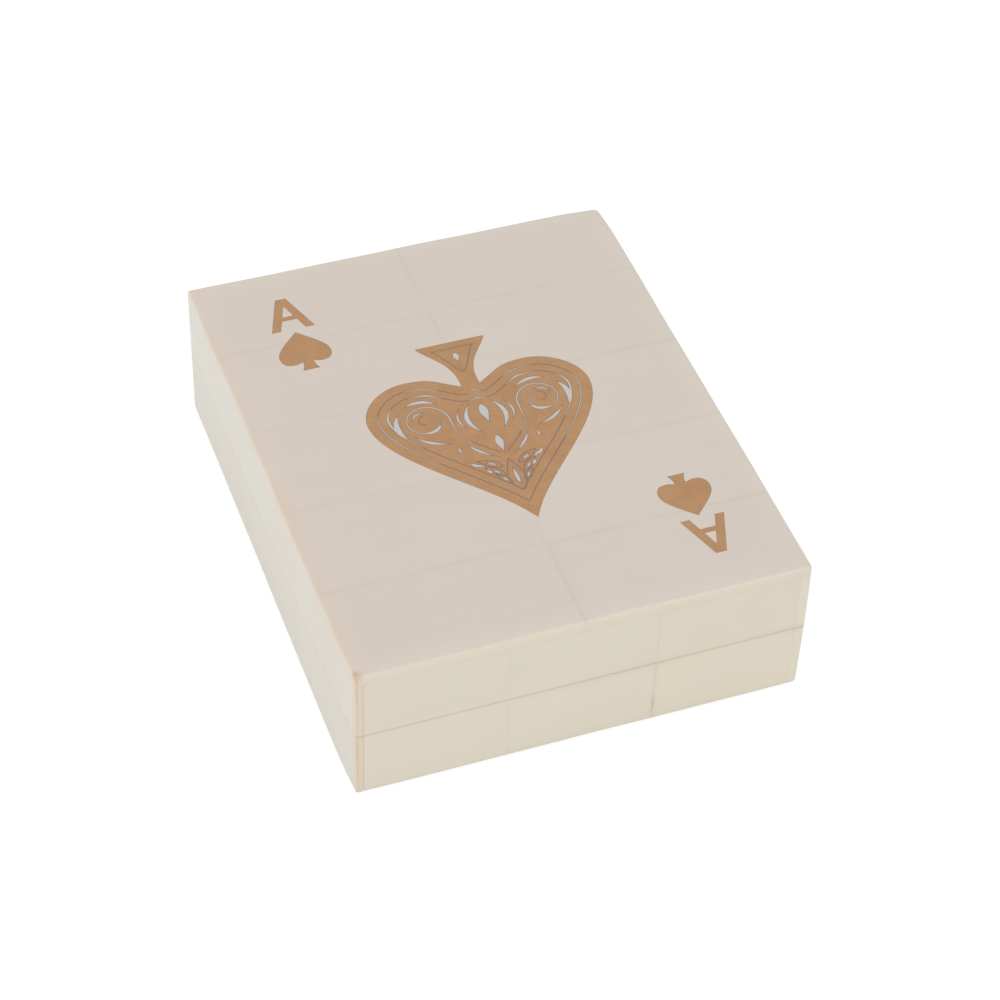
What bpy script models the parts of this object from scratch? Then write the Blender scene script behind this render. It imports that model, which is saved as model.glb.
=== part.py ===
"""A flat box for two decks of playing cards, with a lift-off lid.

A wooden core is covered all over with thin bone tiles, sawn through at mid-height into a base
and a lid. A wooden liner in the base stands above its rim and locates the lid, and a divider
makes two wells. The lid carries an ace of spades inlaid in thin brass.
Metres, +Z up. The origin is the centre of the underside, +X is right and +Y is the back.
"""

import bmesh
import bpy
from mathutils import Vector

for leftover in list(bpy.data.objects):
    bpy.data.objects.remove(leftover)

# Outside sizes of the closed box, and the height of the base's rim
box_width = 0.1200
box_length = 0.1490
box_height = 0.0430
rim_height = 0.0214
seam_gap = 0.0001

# Bone skin: the hand-sanded sides differ a little in thickness
bone_top = 0.0032
bone_left = 0.0027
bone_right = 0.0029
bone_end = 0.0024
tile_joint = 0.0002
glue_gap = 0.0002
outer_ease = 0.0010
ease_steps = 3

# Where the joints between tiles lie, as shares of the box's width from the left side
# and of its length from the front
end_joint_shares = (0.338, 0.662)
side_joint_shares = (0.330, 0.672)
top_column_share = 0.4968
top_left_row_shares = (0.193, 0.390, 0.595, 0.803)
top_right_row_shares = (0.189, 0.397, 0.603, 0.811)

# Wooden core
core_wall = 0.0035
top_board_thickness = 0.0040
base_board_thickness = 0.0040

# Liner strips and divider in the base
liner_clearance = 0.0003
liner_thickness = 0.0018
liner_rise = 0.0050
liner_ease = 0.0005
divider_thickness = 0.0030
notch_width = 0.0200
notch_depth = 0.0085
notch_steps = 16
cut_overrun = 0.0020

# Felt on the well floors, in the lid and under the base
felt_thickness = 0.0010
felt_margin = 0.0003
foot_clearance = 0.0003

# Brass inlay, let into pockets in the top tiles
inlay_thickness = 0.0008
inlay_clearance = 0.0002

spade_width = 0.0611
spade_height = 0.0692
spade_offset_x = 0.0009
spade_tip_y = -0.0370

pip_width = 0.0140
pip_height = 0.0152
back_pip_from_side = 0.0231
back_pip_from_end = 0.0334
front_pip_from_side = 0.0205
front_pip_from_end = 0.0332

letter_width = 0.0118
letter_height = 0.0128
letter_stroke = 0.0023
letter_bar = 0.0014
letter_bar_height = 0.0040
letter_top_width = 0.0027
back_letter_from_side = 0.0230
back_letter_from_end = 0.0181
front_letter_from_side = 0.0199
front_letter_from_end = 0.0183

# Curves of a spade's right half, from its point to the end of its stem. Each row is one
# Bezier curve's four points, as shares of the spade's width and height.
spade_curve_shares = (
    ((0.000, 0.000), (0.106, 0.201), (0.500, 0.429), (0.500, 0.644)),
    ((0.500, 0.644), (0.500, 0.746), (0.381, 0.828), (0.280, 0.828)),
    ((0.280, 0.828), (0.148, 0.828), (0.151, 0.802), (0.041, 0.746)),
    ((0.041, 0.746), (0.024, 0.879), (0.116, 0.929), (0.158, 1.000)),
)
pip_curve_shares = (
    ((0.000, 0.000), (0.216, 0.216), (0.500, 0.405), (0.500, 0.608)),
    ((0.500, 0.608), (0.500, 0.745), (0.417, 0.824), (0.309, 0.824)),
    ((0.309, 0.824), (0.230, 0.843), (0.158, 0.797), (0.101, 0.791)),
    ((0.101, 0.791), (0.094, 0.889), (0.122, 0.954), (0.165, 1.000)),
)
curve_steps = 9

# Planes that the pieces share
left_side = -box_width / 2
right_side = box_width / 2
front_side = -box_length / 2
back_side = box_length / 2

core_left = left_side + bone_left + glue_gap
core_right = right_side - bone_right - glue_gap
core_front = front_side + bone_end + glue_gap
core_back = back_side - bone_end - glue_gap

inner_left = core_left + core_wall
inner_right = core_right - core_wall
inner_front = core_front + core_wall
inner_back = core_back - core_wall

liner_left = inner_left + liner_clearance
liner_right = inner_right - liner_clearance
liner_front = inner_front + liner_clearance
liner_back = inner_back - liner_clearance
well_left = liner_left + liner_thickness
well_right = liner_right - liner_thickness
well_front = liner_front + liner_thickness
well_back = liner_back - liner_thickness
divider_y = (well_front + well_back) / 2
divider_front = divider_y - divider_thickness / 2
divider_back = divider_y + divider_thickness / 2

base_board_low = felt_thickness + glue_gap
base_board_high = base_board_low + base_board_thickness
well_floor = base_board_high + glue_gap
liner_top = rim_height + liner_rise
lid_rim = rim_height + seam_gap
top_tiles_low = box_height - bone_top
top_board_high = top_tiles_low - glue_gap
top_board_low = top_board_high - top_board_thickness
lid_ceiling = top_board_low - glue_gap


def make_material(name, colour, roughness, metallic=0.0):
    """A plain Principled material in the piece's own colour."""
    material = bpy.data.materials.new(name)
    material.use_nodes = True
    shader = material.node_tree.nodes["Principled BSDF"]
    shader.inputs["Base Color"].default_value = (*colour, 1.0)
    shader.inputs["Roughness"].default_value = roughness
    shader.inputs["Metallic"].default_value = metallic
    return material


bone = make_material("bone", (0.72, 0.66, 0.58), 0.45)
core_wood = make_material("core_wood", (0.42, 0.27, 0.15), 0.70)
liner_wood = make_material("liner_wood", (0.23, 0.11, 0.05), 0.55)
felt = make_material("felt", (0.03, 0.03, 0.035), 0.95)
inlay_brass = make_material("inlay_brass", (0.50, 0.28, 0.13), 0.55, 0.4)

# The base stands still, and everything on the lid hangs on an empty on the line it lifts along
base_frame = bpy.data.objects.new("base_frame", None)
lid_frame = bpy.data.objects.new("lid_frame", None)
lid_frame.location = (0, 0, lid_rim)
for frame in (base_frame, lid_frame):
    bpy.context.collection.objects.link(frame)


def add_object(name, mesh, place, frame, material):
    """Puts a mesh into the scene at a world place, under the frame of the half it belongs to."""
    mesh.materials.append(material)
    piece = bpy.data.objects.new(name, mesh)
    bpy.context.collection.objects.link(piece)
    piece.parent = frame
    piece.location = Vector(place) - frame.location
    return piece


def board(name, low, high, frame, material, ease=0, is_eased=None):
    """A board between two corners, with the edges that is_eased picks by their middle rounded."""
    low = Vector(low)
    high = Vector(high)
    centre = (low + high) / 2
    mesh = bpy.data.meshes.new(name)
    shape = bmesh.new()
    bmesh.ops.create_cube(shape, size=1)
    for corner in shape.verts:
        corner.co = Vector(a * b for a, b in zip(corner.co, high - low))
    if is_eased:
        edges = [
            edge
            for edge in shape.edges
            if is_eased(centre + (edge.verts[0].co + edge.verts[1].co) / 2)
        ]
        bmesh.ops.bevel(
            shape, geom=edges, offset=ease, segments=ease_steps, profile=0.5, affect="EDGES"
        )
    shape.to_mesh(mesh)
    shape.free()
    return add_object(name, mesh, centre, frame, material)


def on_two_outsides(point):
    """True where a point lies on two of the closed box's own outer faces, so on its outline."""
    tolerance = outer_ease / 10
    outsides = (
        abs(abs(point.x) - box_width / 2) < tolerance,
        abs(abs(point.y) - box_length / 2) < tolerance,
        abs(point.z - box_height) < tolerance or abs(point.z - foot_clearance) < tolerance,
    )
    return sum(outsides) == 2


def bone_tile(name, low, high, frame):
    """A bone tile, rounded only along the outside corners of the box."""
    return board(name, low, high, frame, bone, outer_ease, on_two_outsides)


def spans(low, high, joints):
    """The stretches between two ends that joints part, each short of a joint by half its width."""
    starts = [low] + [joint + tile_joint / 2 for joint in joints]
    stops = [joint - tile_joint / 2 for joint in joints] + [high]
    return list(zip(starts, stops))


# Wooden core: each half is a board and four walls, butted at the corners
def core_walls(half, low, high, frame):
    """Four walls of one half, its side walls running the full length past the end walls."""
    sides = {
        "left": ((core_left, core_front), (inner_left, core_back)),
        "right": ((inner_right, core_front), (core_right, core_back)),
        "front": ((inner_left + glue_gap, core_front), (inner_right - glue_gap, inner_front)),
        "back": ((inner_left + glue_gap, inner_back), (inner_right - glue_gap, core_back)),
    }
    for side, (near, far) in sides.items():
        board(f"{half}_wall_{side}", (*near, low), (*far, high), frame, core_wood)


board(
    "base_board",
    (core_left, core_front, base_board_low),
    (core_right, core_back, base_board_high),
    base_frame,
    core_wood,
)
core_walls("base", well_floor, rim_height, base_frame)
board(
    "lid_board",
    (core_left, core_front, top_board_low),
    (core_right, core_back, top_board_high),
    lid_frame,
    core_wood,
)
core_walls("lid", lid_rim, lid_ceiling, lid_frame)


# Bone skin of the sides: the left and right slabs cover the ends of the front and back ones
def side_skin(half, low, high, frame):
    """Tiles round one half of the box, three to a side."""
    end_joints = [left_side + share * box_width for share in end_joint_shares]
    side_joints = [front_side + share * box_length for share in side_joint_shares]
    end_low = left_side + bone_left + tile_joint
    end_high = right_side - bone_right - tile_joint
    for number, (start, stop) in enumerate(spans(end_low, end_high, end_joints), 1):
        bone_tile(
            f"{half}_front_tile_{number}",
            (start, front_side, low),
            (stop, front_side + bone_end, high),
            frame,
        )
        bone_tile(
            f"{half}_back_tile_{number}",
            (start, back_side - bone_end, low),
            (stop, back_side, high),
            frame,
        )
    for number, (start, stop) in enumerate(spans(front_side, back_side, side_joints), 1):
        bone_tile(
            f"{half}_left_tile_{number}",
            (left_side, start, low),
            (left_side + bone_left, stop, high),
            frame,
        )
        bone_tile(
            f"{half}_right_tile_{number}",
            (right_side - bone_right, start, low),
            (right_side, stop, high),
            frame,
        )


side_skin("base", foot_clearance, rim_height, base_frame)
side_skin("lid", lid_rim, top_tiles_low - tile_joint, lid_frame)

# Bone skin of the top: two columns of five tiles over everything, numbered from the front
top_column = left_side + top_column_share * box_width
top_columns = spans(left_side, right_side, [top_column])
top_tiles = []
for column, (start_x, stop_x), row_shares in zip(
    ("left", "right"), top_columns, (top_left_row_shares, top_right_row_shares)
):
    row_joints = [front_side + share * box_length for share in row_shares]
    for number, (start_y, stop_y) in enumerate(spans(front_side, back_side, row_joints), 1):
        tile = bone_tile(
            f"top_tile_{column}_{number}",
            (start_x, start_y, top_tiles_low),
            (stop_x, stop_y, box_height),
            lid_frame,
        )
        top_tiles.append((tile, start_x, stop_x, start_y, stop_y))


# Outlines of the inlay
def curve_points(curve, width, height):
    """Points along one Bezier curve given in shares, leaving out its last point."""
    a, b, c, d = (Vector((x * width, y * height)) for x, y in curve)
    steps = (number / curve_steps for number in range(curve_steps))
    return [
        a * (1 - t) ** 3 + b * 3 * t * (1 - t) ** 2 + c * 3 * t**2 * (1 - t) + d * t**3
        for t in steps
    ]


def spade_outline(curves, width, height):
    """A spade's outline with its point at the origin and its stem towards +Y, anticlockwise."""
    right = [point for curve in curves for point in curve_points(curve, width, height)]
    end_share, height_share = curves[-1][-1]
    right.append(Vector((end_share * width, height_share * height)))
    return right + [Vector((-point.x, point.y)) for point in reversed(right[1:])]


def grown(outline, clearance):
    """The outline with each side moved out by the clearance, so that its corners are mitred."""
    moved = []
    for before, here, after in zip(outline[-1:] + outline, outline, outline[1:] + outline[:1]):
        first = (here - before).normalized()
        second = (after - here).normalized()
        normal = Vector((first.y + second.y, -first.x - second.x)).normalized()
        across = normal.dot(Vector((first.y, -first.x)))
        moved.append(here + normal * clearance / across)
    return moved


def letter_faces(clearance):
    """Flat faces of a letter A that stands on the X axis, grown on all sides by the clearance."""
    foot = -clearance
    head = letter_height + clearance
    outer_foot = letter_width / 2 + clearance
    outer_head = letter_top_width / 2 + clearance
    stroke = letter_stroke + 2 * clearance
    bar_low = letter_bar_height - clearance
    bar_high = letter_bar_height + letter_bar + clearance
    lean = (outer_foot - outer_head) / (head - foot)
    peak = foot + (outer_foot - stroke) / lean

    def outer(height):
        return outer_foot - lean * (height - foot)

    faces = []
    for side in (-1, 1):
        levels = [
            (Vector((side * outer(level), level)), Vector((side * (outer(level) - stroke), level)))
            for level in (foot, bar_low, bar_high)
        ]
        levels.append((Vector((side * outer(head), head)), Vector((0, peak))))
        faces += [
            (low_out, low_in, high_in, high_out)
            for (low_out, low_in), (high_out, high_in) in zip(levels, levels[1:])
        ]
    low_in = outer(bar_low) - stroke
    high_in = outer(bar_high) - stroke
    faces.append(
        (
            Vector((-low_in, bar_low)),
            Vector((low_in, bar_low)),
            Vector((high_in, bar_high)),
            Vector((-high_in, bar_high)),
        )
    )
    faces.append((Vector((-outer(head), head)), Vector((0, peak)), Vector((outer(head), head))))
    return faces


def slab_mesh(name, faces, centre, turn, low, high):
    """Flat faces, turned half round or not about their own centre, made a slab between two heights."""
    mesh = bpy.data.meshes.new(name)
    shape = bmesh.new()
    for face in faces:
        corners = [shape.verts.new((*(centre + turn * point), low)) for point in face]
        shape.faces.new(corners)
    bmesh.ops.remove_doubles(shape, verts=shape.verts, dist=inlay_clearance / 10)
    bmesh.ops.recalc_face_normals(shape, faces=shape.faces)
    risen = bmesh.ops.extrude_face_region(shape, geom=shape.faces[:])["geom"]
    lifted = [item for item in risen if isinstance(item, bmesh.types.BMVert)]
    bmesh.ops.translate(shape, verts=lifted, vec=(0, 0, high - low))
    bmesh.ops.recalc_face_normals(shape, faces=shape.faces)
    shape.to_mesh(mesh)
    shape.free()
    return mesh


# Inlay pieces and their pockets: an index letter and a pip in two opposite corners, turned
# half round to each other like a card's, and the large spade in the middle
spade = spade_outline(spade_curve_shares, spade_width, spade_height)
pip = spade_outline(pip_curve_shares, pip_width, pip_height)
pip_middle = pip_height / 2
letter_middle = letter_height / 2
back_pip = (left_side + back_pip_from_side, back_side - back_pip_from_end)
front_pip = (right_side - front_pip_from_side, front_side + front_pip_from_end)
back_letter = (left_side + back_letter_from_side, back_side - back_letter_from_end)
front_letter = (right_side - front_letter_from_side, front_side + front_letter_from_end)


def moved_down(points, distance):
    return [point - Vector((0, distance)) for point in points]


def spade_faces(clearance):
    return [grown(spade, clearance)]


def pip_faces(clearance):
    return [moved_down(grown(pip, clearance), pip_middle)]


def centred_letter_faces(clearance):
    return [moved_down(face, letter_middle) for face in letter_faces(clearance)]


inlays = (
    ("spade_inlay", spade_faces, (spade_offset_x, spade_tip_y), 1),
    ("pip_inlay_back_left", pip_faces, back_pip, -1),
    ("pip_inlay_front_right", pip_faces, front_pip, 1),
    ("letter_inlay_back_left", centred_letter_faces, back_letter, 1),
    ("letter_inlay_front_right", centred_letter_faces, front_letter, -1),
)
inlay_low = box_height - inlay_thickness
for name, make_faces, place, turn in inlays:
    mesh = slab_mesh(name, make_faces(0), Vector(place), turn, inlay_low, box_height)
    add_object(name, mesh, (0, 0, 0), lid_frame, inlay_brass)
    pocket_mesh = slab_mesh(
        f"{name}_pocket",
        make_faces(inlay_clearance),
        Vector(place),
        turn,
        inlay_low - inlay_clearance,
        box_height + cut_overrun,
    )
    pocket = add_object(f"{name}_pocket", pocket_mesh, (0, 0, 0), lid_frame, bone)
    pocket.hide_render = True
    pocket.display_type = "WIRE"
    pocket_x = [corner.co.x for corner in pocket_mesh.vertices]
    pocket_y = [corner.co.y for corner in pocket_mesh.vertices]
    for tile, start_x, stop_x, start_y, stop_y in top_tiles:
        beside = min(pocket_x) > stop_x or max(pocket_x) < start_x
        beyond = min(pocket_y) > stop_y or max(pocket_y) < start_y
        if beside or beyond:
            continue
        cut = tile.modifiers.new(f"{name}_pocket", "BOOLEAN")
        cut.operation = "DIFFERENCE"
        cut.solver = "EXACT"
        cut.object = pocket


# Liner strips, glued inside the base's walls and standing above its rim
def is_liner_top(point):
    return abs(point.z - liner_top) < liner_ease / 10


def liner(name, low, high):
    """A strip or divider that stands on the base board, with its top edges rounded."""
    return board(
        name,
        (*low, well_floor),
        (*high, liner_top),
        base_frame,
        liner_wood,
        liner_ease,
        is_liner_top,
    )


liner("liner_front", (liner_left, liner_front), (liner_right, well_front))
liner("liner_back", (liner_left, well_back), (liner_right, liner_back))
liner("liner_left", (liner_left, well_front + glue_gap), (well_left, well_back - glue_gap))
liner("liner_right", (well_right, well_front + glue_gap), (liner_right, well_back - glue_gap))

# Divider between the two wells, with a round finger notch in its top edge
divider = liner(
    "divider", (well_left + glue_gap, divider_front), (well_right - glue_gap, divider_back)
)
notch_mesh = bpy.data.meshes.new("finger_notch")
notch_shape = bmesh.new()
bmesh.ops.create_cone(
    notch_shape,
    cap_ends=True,
    segments=2 * notch_steps,
    radius1=notch_width / 2,
    radius2=notch_width / 2,
    depth=divider_thickness + 2 * cut_overrun,
)
for corner in notch_shape.verts:
    across, along, through = corner.co
    corner.co = (across, -through, along * notch_depth / (notch_width / 2))
notch_shape.to_mesh(notch_mesh)
notch_shape.free()
notch_middle = ((well_left + well_right) / 2, divider_y, liner_top)
finger_notch = add_object("finger_notch", notch_mesh, notch_middle, base_frame, liner_wood)
finger_notch.hide_render = True
finger_notch.display_type = "WIRE"
notch_cut = divider.modifiers.new("finger_notch", "BOOLEAN")
notch_cut.operation = "DIFFERENCE"
notch_cut.solver = "EXACT"
notch_cut.object = finger_notch


# Felt: one sheet on each well's floor, one in the lid and one under the base
def felt_sheet(name, low, high, floor, frame):
    """A sheet of felt that lies between two corners, clear of what stands around it."""
    return board(
        name,
        (low[0] + felt_margin, low[1] + felt_margin, floor),
        (high[0] - felt_margin, high[1] - felt_margin, floor + felt_thickness),
        frame,
        felt,
    )


felt_sheet(
    "deck_felt_front", (well_left, well_front), (well_right, divider_front), well_floor, base_frame
)
felt_sheet(
    "deck_felt_back", (well_left, divider_back), (well_right, well_back), well_floor, base_frame
)
felt_sheet(
    "lid_felt",
    (inner_left, inner_front),
    (inner_right, inner_back),
    lid_ceiling - felt_thickness,
    lid_frame,
)
felt_sheet("underside_felt", (core_left, core_front), (core_right, core_back), 0, base_frame)
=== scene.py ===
"""A playing card box clad in bone tiles, with an ace of spades inlaid in its lid.

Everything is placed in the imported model's own frame: metres, +Z up, the origin under the middle of
the closed box and +Y towards its back.
"""

import math

import bpy
import numpy as np
from mathutils.geometry import delaunay_2d_cdt
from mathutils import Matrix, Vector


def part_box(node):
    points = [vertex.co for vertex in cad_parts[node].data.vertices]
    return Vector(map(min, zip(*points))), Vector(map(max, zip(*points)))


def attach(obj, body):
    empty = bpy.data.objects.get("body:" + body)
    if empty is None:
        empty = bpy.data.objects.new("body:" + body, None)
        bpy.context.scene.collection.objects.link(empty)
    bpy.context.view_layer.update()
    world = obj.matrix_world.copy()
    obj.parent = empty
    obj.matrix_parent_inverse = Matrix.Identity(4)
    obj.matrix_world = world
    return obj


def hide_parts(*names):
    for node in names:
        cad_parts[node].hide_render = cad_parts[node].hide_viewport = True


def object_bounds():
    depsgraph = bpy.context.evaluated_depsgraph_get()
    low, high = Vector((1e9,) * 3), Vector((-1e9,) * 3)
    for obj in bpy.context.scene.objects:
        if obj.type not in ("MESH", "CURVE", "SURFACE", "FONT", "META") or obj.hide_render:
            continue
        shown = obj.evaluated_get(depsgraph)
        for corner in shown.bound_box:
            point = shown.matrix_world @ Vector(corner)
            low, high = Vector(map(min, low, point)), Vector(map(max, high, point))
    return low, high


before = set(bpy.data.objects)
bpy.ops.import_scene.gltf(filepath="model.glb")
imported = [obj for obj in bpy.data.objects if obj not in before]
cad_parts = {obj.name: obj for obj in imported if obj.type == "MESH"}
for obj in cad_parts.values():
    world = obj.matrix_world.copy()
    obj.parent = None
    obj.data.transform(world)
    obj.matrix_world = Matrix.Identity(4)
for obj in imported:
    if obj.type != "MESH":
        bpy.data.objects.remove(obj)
cad_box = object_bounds()

# Camera. The box was photographed through a long lens, from above and a little to the left of
# its front.
camera_data = bpy.data.cameras.new("camera")
camera_data.sensor_width = 36
camera_data.lens = 102.44
camera = bpy.data.objects.new("camera", camera_data)
camera.location = (-0.19049, -0.50460, 0.54810)
camera.rotation_euler = [math.radians(angle) for angle in (45.2937, -1.5532, -19.6174)]
bpy.context.collection.objects.link(camera)
bpy.context.scene.camera = camera


# Bone skin. Each tile is a sawn slip of bone about 3 mm thick, glued on a wooden core. The closed
# box was sanded by hand as one block, so its edges are softly and unevenly rounded, three walls
# belly a little towards the seam, and the front left corner is worn back.
outer_low, outer_high = (np.array(corner) for corner in cad_box)
outer_low[2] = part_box("base_front_tile_1")[0][2]
top_z = outer_high[2]
lid_rim_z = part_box("lid_front_tile_1")[0][2]
base_rim_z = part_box("base_front_tile_1")[1][2]
top_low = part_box("top_tile_left_1")[0][2]

edge_radius = 0.0007
radius_wander = 0.00018
back_corner_radius = 0.0021
back_corner_reach = 0.0120
rim_radius = 0.00005
belly_depth = 0.00018
sanded_depth = 0.0024
worn_side_length = 0.0160
worn_side_depth = 0.00065
right_end_length = 0.0300
right_end_depth = 0.00010
crown_reach = 0.0060
crown_depth = 0.00012
tile_joint = 0.0002
line_spacing = 0.0040
line_clearance = 0.0002
lines_near_edge = 0.001 * np.array([0, 0.1, 0.22, 0.36, 0.52, 0.7, 0.9, 1.15, 1.45, 1.8, 2.2, 2.7])
lines_near_rim = 0.001 * np.array([0, 0.018, 0.036, 0.06, 0.14])


def ramp(values, start, stop):
    """0 before start and 1 past stop, with the smooth rise 3t^2 - 2t^3 between them."""
    t = np.clip((values - start) / (stop - start), 0, 1)
    return t * t * (3 - 2 * t)


def rounded(inward, radius):
    """Inward distances from three faces, once the edges between those faces are rounded.

    The distances left to the radius make a vector. It keeps its direction, and its length becomes
    its largest part, so that nested cubes turn into nested spheres.
    """
    reach = np.clip(radius[:, None] - inward, 0, None)
    length = np.maximum(np.linalg.norm(reach, axis=1), 1e-9)
    return inward + reach * (1 - reach.max(axis=1) / length)[:, None]


def sanded(points, rim_z=None):
    """The place that the sanding gives to each point of the sharp-edged box.

    Distances run inwards from the nearest outer face on each axis. The edges are rounded with a
    radius that wanders along them. Then the walls move in by a parabola of the height, the left
    one evenly, and by parabolas towards the worn ends, and the top falls by one towards its edges,
    all fading out through the skin. A rim left by the saw has its own fine rounding.
    """
    from_low = points - outer_low
    from_high = outer_high - points
    nearest = np.minimum(from_low, from_high)
    x, y, z = points.T
    wander = np.sin(95 * x + 1.3) * np.sin(71 * y + 0.4) + 0.5 * np.sin(210 * x + 160 * y + 90 * z)
    near_corner = 1 - ramp(
        np.hypot(outer_high[0] - x, outer_high[1] - y), 0, back_corner_reach
    )
    radius = edge_radius + radius_wander * wander
    radius += (back_corner_radius - edge_radius) * near_corner
    inward = rounded(nearest, radius)
    height = (z - base_rim_z) / (top_z - base_rim_z)
    belly = belly_depth * np.clip(height, -1, 1) ** 2
    side_belly = np.where(x < 0, belly_depth, belly)
    to_front = np.clip(1 - from_low[:, 1] / worn_side_length, 0, 1)
    to_end = np.clip(1 - nearest[:, 1] / right_end_length, 0, 1)
    worn = np.where(x < 0, worn_side_depth * to_front**2, right_end_depth * to_end**2)
    fade = np.clip(1 - inward / sanded_depth, 0, 1)
    if rim_z is not None:
        from_rim = np.stack([inward[:, 0], inward[:, 1], np.abs(z - rim_z)], axis=1)
        eased = rounded(from_rim, np.full(len(z), rim_radius))
        inward[:, :2] = eased[:, :2]
    inward[:, 0] += fade[:, 0] * (side_belly + worn)
    inward[:, 1] += fade[:, 1] * belly
    to_edge = np.clip(1 - nearest[:, :2].min(axis=1) / crown_reach, 0, 1)
    inward[:, 2] += np.where(height > 0, fade[:, 2] * crown_depth * to_edge**2, 0)
    place = np.where(from_low < from_high, outer_low + inward, outer_high - inward)
    if rim_z is not None:
        place[:, 2] = rim_z + np.sign(z.mean() - rim_z) * eased[:, 2]
    return place


def ruled(low, high, finer):
    """Places of grid lines from low to high: finer ones where given, and others spread evenly."""
    spread = np.linspace(low, high, 2 + int((high - low) / line_spacing))
    finer = finer[(finer > low) & (finer < high)]
    away = np.abs(spread[:, None] - np.append(finer, low - 1)).min(axis=1)
    spread = spread[away > line_clearance]
    places = np.concatenate([[low, high], finer, spread])
    return np.unique(np.round(places, 6))


def box_grid(rulings):
    """Points and quads of a closed box, ruled along each axis by that axis's grid lines.

    Each face is the grid of two axes' lines at one end of the third's, and the six share the
    points on their edges.
    """
    points, quads, count = [], [], 0
    for axis in range(3):
        across, up = (axis + 1) % 3, (axis + 2) % 3
        for end in (0, -1):
            face = np.empty((len(rulings[across]), len(rulings[up]), 3))
            face[..., across] = rulings[across][:, None]
            face[..., up] = rulings[up]
            face[..., axis] = rulings[axis][end]
            index = count + np.arange(face[..., 0].size).reshape(face.shape[:2])
            corners = [index[:-1, :-1], index[1:, :-1], index[1:, 1:], index[:-1, 1:]]
            quad = np.stack(corners, axis=2)
            quads.append(quad.reshape(-1, 4)[:, :: 1 if end else -1])
            points.append(face.reshape(-1, 3))
            count += index.size
    rounded_points = np.round(np.concatenate(points), 7)
    points, index = np.unique(rounded_points, axis=0, return_inverse=True)
    return points, index.reshape(-1)[np.concatenate(quads)]


def sanded_box(low, high, rim_z=None):
    """Points and quads of a box between two corners, ruled finely where the sanding bends it."""
    edge_lines = [
        np.concatenate([start + lines_near_edge, stop - lines_near_edge])
        for start, stop in zip(outer_low, outer_high)
    ]
    if rim_z is not None:
        rim_lines = np.concatenate([rim_z + lines_near_rim, rim_z - lines_near_rim])
        edge_lines[2] = np.concatenate([edge_lines[2], rim_lines])
    rulings = [ruled(a, b, finer) for a, b, finer in zip(low, high, edge_lines)]
    points, quads = box_grid(rulings)
    return sanded(points, rim_z), quads


sharp_angle = 35


def add_piece(name, points, faces, material, body, nodes, sharp=sharp_angle):
    """A piece from points and faces, shaded smooth except over sharp edges, standing for nodes."""
    mesh = bpy.data.meshes.new(name)
    mesh.from_pydata(points, [], [list(face) for face in faces])
    mesh.materials.append(material)
    mesh.shade_smooth()
    mesh.set_sharp_from_angle(angle=math.radians(sharp))
    piece = bpy.data.objects.new(name, mesh)
    bpy.context.collection.objects.link(piece)
    if nodes:
        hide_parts(*nodes)
    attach(piece, body)
    return piece


def write_field(piece, name, vectors):
    """Stores one vector for each point of a piece, for its material to read."""
    layer = piece.data.attributes.get(name)
    layer = layer or piece.data.attributes.new(name, "FLOAT_VECTOR", "POINT")
    layer.data.foreach_set("vector", np.asarray(vectors, np.float32).ravel())


class Field:
    """A number or colour that varies over a surface. Python's operators on it add Math nodes."""

    def __init__(self, finish, socket):
        self.finish = finish
        self.socket = socket

    def __add__(self, other):
        return self.finish.maths("ADD", self, other)

    def __sub__(self, other):
        return self.finish.maths("SUBTRACT", self, other)

    def __rsub__(self, other):
        return self.finish.maths("SUBTRACT", other, self)

    def __mul__(self, other):
        return self.finish.maths("MULTIPLY", self, other)

    __radd__ = __add__
    __rmul__ = __mul__


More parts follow.
